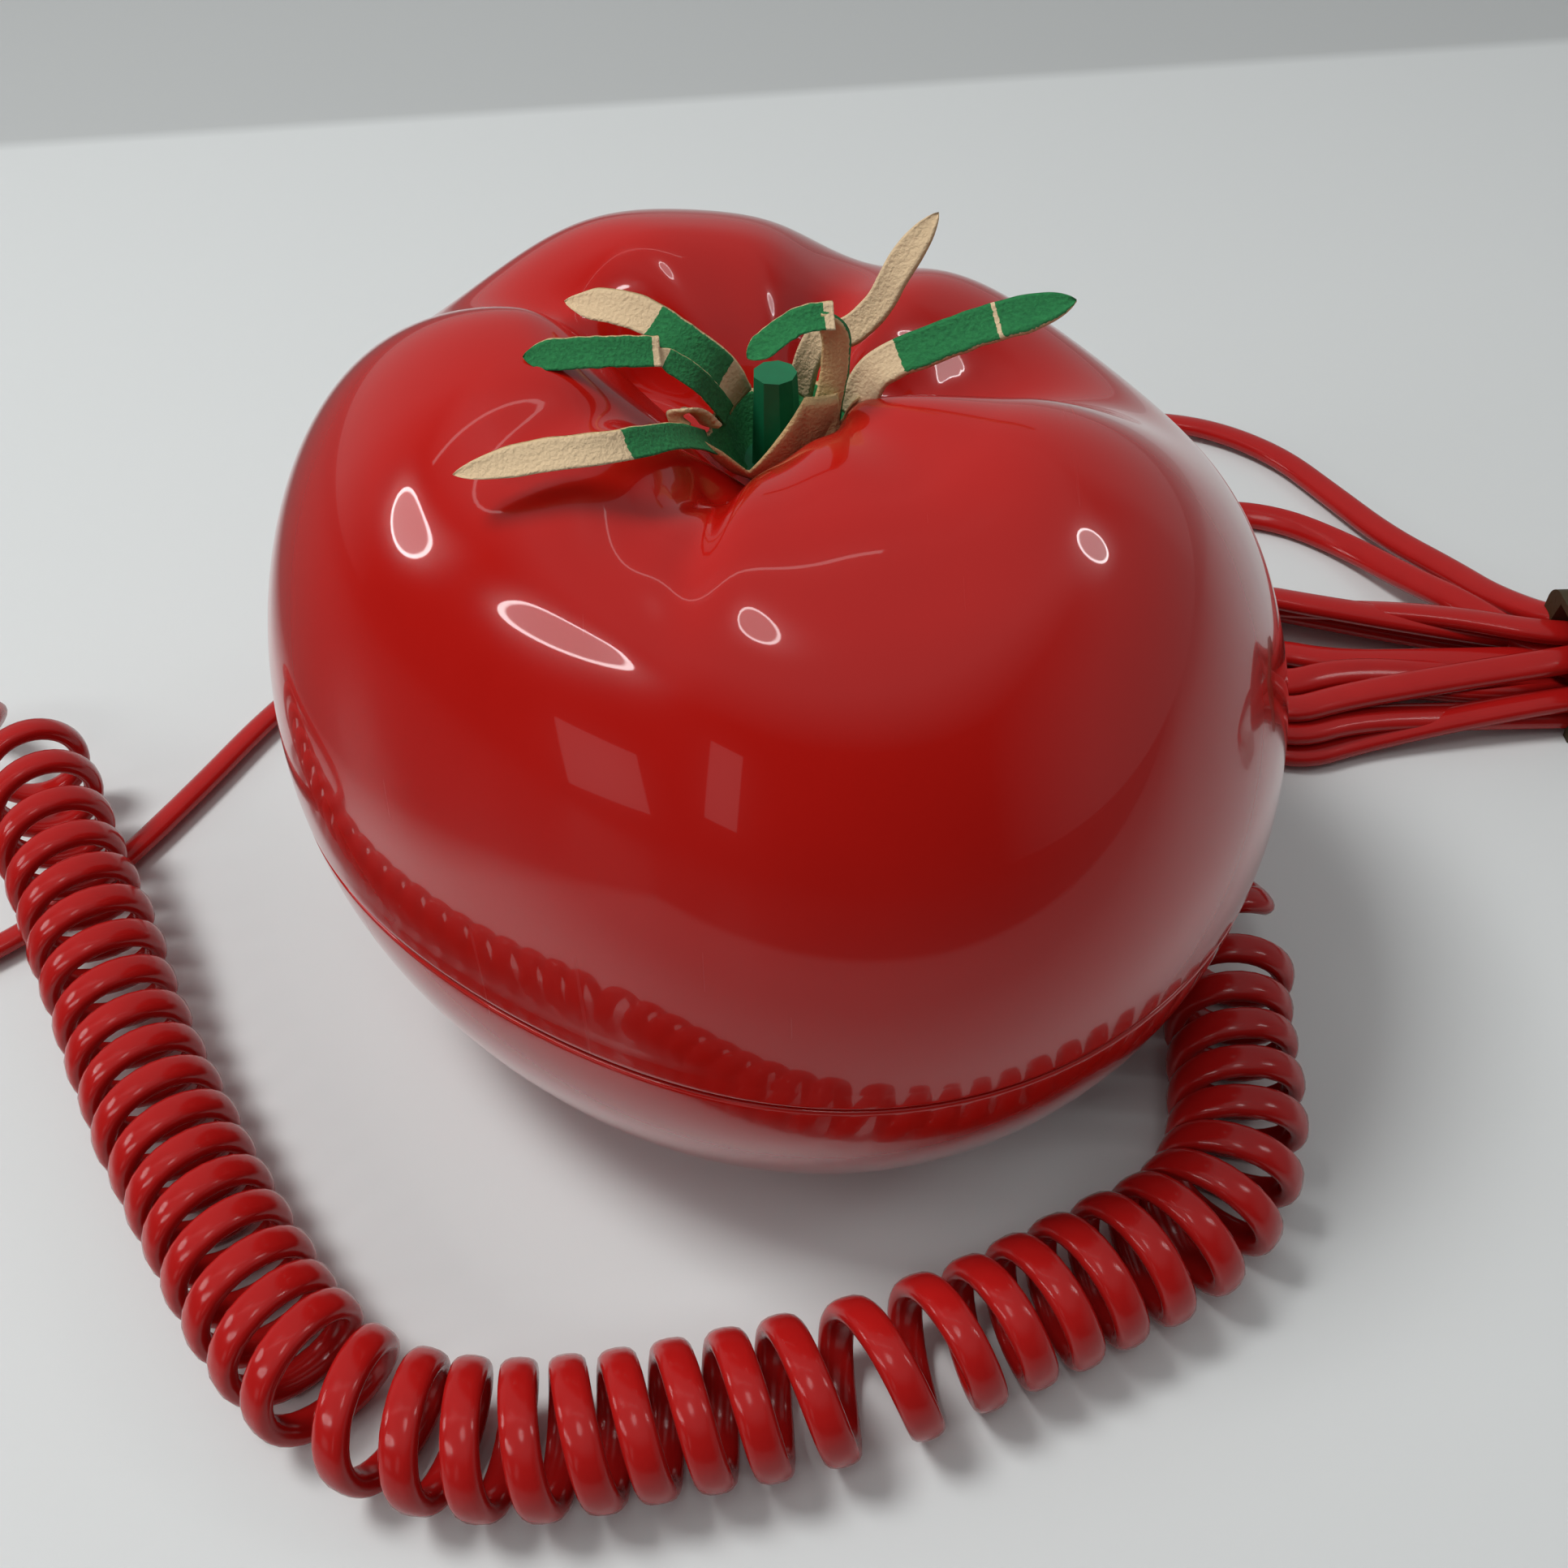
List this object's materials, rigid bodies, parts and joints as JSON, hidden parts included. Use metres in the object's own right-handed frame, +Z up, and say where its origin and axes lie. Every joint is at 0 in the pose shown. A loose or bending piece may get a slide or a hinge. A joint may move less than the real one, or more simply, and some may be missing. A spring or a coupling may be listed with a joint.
{
  "type": "corded landline phone",
  "caption": "Tomato-shaped corded phone: a lobed glossy dome lifts off as the handset, over a round base with a keypad, a curly handset cord and a tied line cord.",
  "frame": {"origin": "on the table under the middle of the base", "axes": "+Z up, +Y towards the back where the base's cords leave, +X to the right of someone facing the phone"},
  "size_m": [0.3364, 0.1983, 0.1033],
  "materials": {
    "red_gloss": "glossy moulded, fine scratches",
    "red_satin": "satin moulded",
    "steel": "plain zinc",
    "weight_iron": "plain",
    "foam_black": "soft foam",
    "capsule_dark": "matte",
    "capsule_metal": "plain",
    "black_rubber": "matte",
    "grey_rubber": "matte",
    "ivory_plastic": "smooth",
    "black_plastic": "smooth",
    "lead_red": "smooth",
    "red_rubber": "satin",
    "cord_red": "satin",
    "stem_green": "matte moulded",
    "flock_paper": "worn flock on paper",
    "board": "coated board",
    "tie_brown": "satin",
    "plug_clear": "clear moulded"
  },
  "bodies": {
    "base": {"base_shell": "red_gloss", "base_deck": "red_satin", "deck_screws": "steel", "board_screws": "steel", "keypad_screws": "steel", "hook_spring": "steel", "base_weight": "weight_iron", "base_leads": "lead_red", "base_cord_grommet": "red_rubber", "line_cord_grommet": "red_rubber", "base_feet": "black_rubber", "main_board": "board", "keypad_board": "board", "ringer": "capsule_dark", "hook_switch": "capsule_dark", "keypad_membrane": "grey_rubber", "keypad_cable": "ivory_plastic", "ringer_switch": "capsule_dark", "curly_cord_base_tail": "cord_red", "curly_cord_coil": "cord_red", "curly_cord_handset_tail": "cord_red", "line_cord_lead": "cord_red", "line_cord_loop": "cord_red", "line_cord_hank": "cord_red", "line_cord_end": "cord_red", "line_cord_tie": "tie_brown", "line_plug": "plug_clear"},
    "handset": {"handset_shell": "red_gloss", "handset_faceplate": "red_satin", "handset_screws": "steel", "earpiece_gasket": "foam_black", "earpiece": "capsule_dark", "microphone": "capsule_metal", "microphone_boot": "black_rubber", "handset_terminal_block": "ivory_plastic", "handset_leads": "lead_red", "handset_cord_grommet": "red_rubber", "stem": "stem_green", "stem_nut": "steel", "calyx": "flock_paper"},
    "hook_plunger": {"hook_plunger": "ivory_plastic"},
    "key_1": {"key_1": "ivory_plastic"},
    "key_2": {"key_2": "ivory_plastic"},
    "key_3": {"key_3": "ivory_plastic"},
    "key_4": {"key_4": "ivory_plastic"},
    "key_5": {"key_5": "ivory_plastic"},
    "key_6": {"key_6": "ivory_plastic"},
    "key_7": {"key_7": "ivory_plastic"},
    "key_8": {"key_8": "ivory_plastic"},
    "key_9": {"key_9": "ivory_plastic"},
    "key_star": {"key_star": "ivory_plastic"},
    "key_0": {"key_0": "ivory_plastic"},
    "key_hash": {"key_hash": "ivory_plastic"},
    "ringer_knob": {"ringer_knob": "black_plastic"}
  },
  "joints": [
    {"name": "handset_lift", "type": "slide", "parent": "base", "child": "handset", "axis": [0, 0, 1], "range_m": [0, 0.06]},
    {"name": "hook_travel", "type": "slide", "parent": "base", "child": "hook_plunger", "axis": [0, 0, 1], "range_m": [0, 0.004], "deforming": ["hook_spring"]},
    {"name": "key_1_press", "type": "slide", "parent": "base", "child": "key_1", "axis": [0, 0, -1], "range_m": [0, 0.0012], "stiffness_N_per_m": 400},
    {"name": "key_2_press", "type": "slide", "parent": "base", "child": "key_2", "axis": [0, 0, -1], "range_m": [0, 0.0012], "stiffness_N_per_m": 400},
    {"name": "key_3_press", "type": "slide", "parent": "base", "child": "key_3", "axis": [0, 0, -1], "range_m": [0, 0.0012], "stiffness_N_per_m": 400},
    {"name": "key_4_press", "type": "slide", "parent": "base", "child": "key_4", "axis": [0, 0, -1], "range_m": [0, 0.0012], "stiffness_N_per_m": 400},
    {"name": "key_5_press", "type": "slide", "parent": "base", "child": "key_5", "axis": [0, 0, -1], "range_m": [0, 0.0012], "stiffness_N_per_m": 400},
    {"name": "key_6_press", "type": "slide", "parent": "base", "child": "key_6", "axis": [0, 0, -1], "range_m": [0, 0.0012], "stiffness_N_per_m": 400},
    {"name": "key_7_press", "type": "slide", "parent": "base", "child": "key_7", "axis": [0, 0, -1], "range_m": [0, 0.0012], "stiffness_N_per_m": 400},
    {"name": "key_8_press", "type": "slide", "parent": "base", "child": "key_8", "axis": [0, 0, -1], "range_m": [0, 0.0012], "stiffness_N_per_m": 400},
    {"name": "key_9_press", "type": "slide", "parent": "base", "child": "key_9", "axis": [0, 0, -1], "range_m": [0, 0.0012], "stiffness_N_per_m": 400},
    {"name": "key_star_press", "type": "slide", "parent": "base", "child": "key_star", "axis": [0, 0, -1], "range_m": [0, 0.0012], "stiffness_N_per_m": 400},
    {"name": "key_0_press", "type": "slide", "parent": "base", "child": "key_0", "axis": [0, 0, -1], "range_m": [0, 0.0012], "stiffness_N_per_m": 400},
    {"name": "key_hash_press", "type": "slide", "parent": "base", "child": "key_hash", "axis": [0, 0, -1], "range_m": [0, 0.0012], "stiffness_N_per_m": 400},
    {"name": "ringer_slide", "type": "slide", "parent": "base", "child": "ringer_knob", "axis": [1, 0, 0], "range_m": [0, 0.004]}
  ],
  "couplings": [
    {"joint": "hook_travel", "follows": "handset_lift", "ratio": 0.0666}
  ]
}
